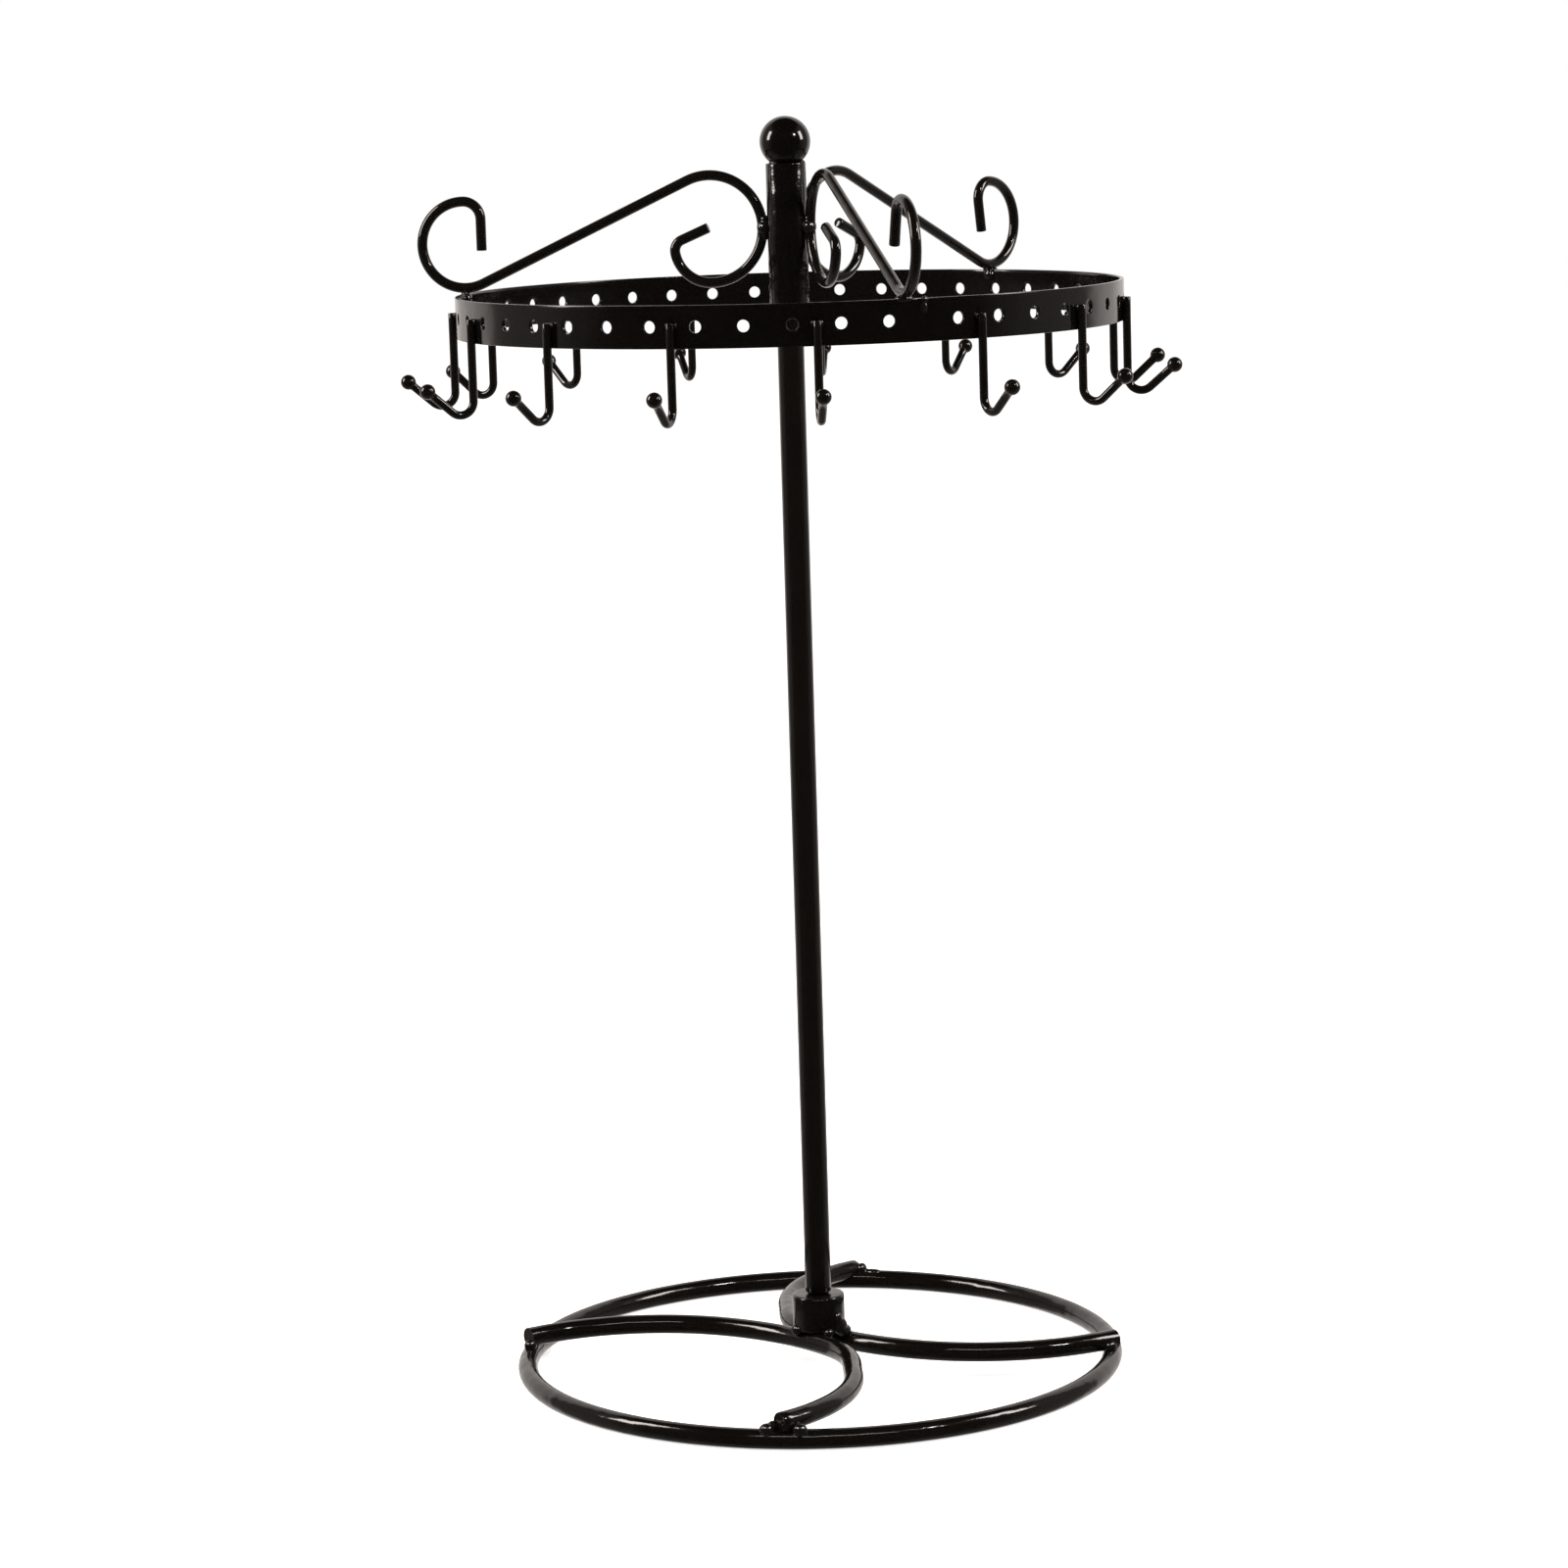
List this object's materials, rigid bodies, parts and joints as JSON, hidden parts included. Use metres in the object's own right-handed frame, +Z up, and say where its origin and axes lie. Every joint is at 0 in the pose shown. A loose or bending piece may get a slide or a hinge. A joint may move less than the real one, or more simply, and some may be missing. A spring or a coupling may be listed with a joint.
{
  "type": "rotating jewellery stand",
  "caption": "Free-standing wire stand with a rotating, lift-off head: a punched band for earrings, ball-tipped hooks for necklaces, and scrolls under a ball finial",
  "frame": {"origin": "on the post's axis, in the plane that the foot stands on", "axes": "+Z up along the post; -Y is the front, where the front arc's end meets the ring; +X is the right as seen from the front"},
  "size_m": [0.2336, 0.2347, 0.3835],
  "materials": {
    "foot_enamel": "glossy, slightly uneven",
    "post_enamel": "glossy, slight orange peel",
    "hub_enamel": "glossy, slight orange peel",
    "band_enamel": "glossy, slightly wavy",
    "hook_enamel": "glossy",
    "scroll_enamel": "glossy",
    "steel": "plain"
  },
  "bodies": {
    "stand": {"base_ring": "foot_enamel", "base_arc_front": "foot_enamel", "base_arc_rear": "foot_enamel", "base_socket": "foot_enamel", "post": "post_enamel", "post_stud": "steel"},
    "pivot": {"pivot_ball": "steel"},
    "rotor": {"finial_ball": "hub_enamel", "hub_sleeve": "hub_enamel", "display_band": "band_enamel", "scroll_1": "scroll_enamel", "scroll_2": "scroll_enamel", "scroll_3": "scroll_enamel", "hook_01": "hook_enamel", "hook_02": "hook_enamel", "hook_03": "hook_enamel", "hook_04": "hook_enamel", "hook_05": "hook_enamel", "hook_06": "hook_enamel", "hook_07": "hook_enamel", "hook_08": "hook_enamel", "hook_09": "hook_enamel", "hook_10": "hook_enamel", "hook_11": "hook_enamel", "hook_12": "hook_enamel", "hook_13": "hook_enamel", "hook_14": "hook_enamel", "hook_15": "hook_enamel"}
  },
  "joints": [
    {"name": "rotor_spin", "type": "hinge", "parent": "stand", "child": "pivot", "pos_m": [0, 0, 0.36447], "axis": [0, 0, 1], "continuous": true},
    {"name": "rotor_lift", "type": "slide", "parent": "pivot", "child": "rotor", "axis": [0, 0, 1], "range_m": [0, 0.045]}
  ]
}
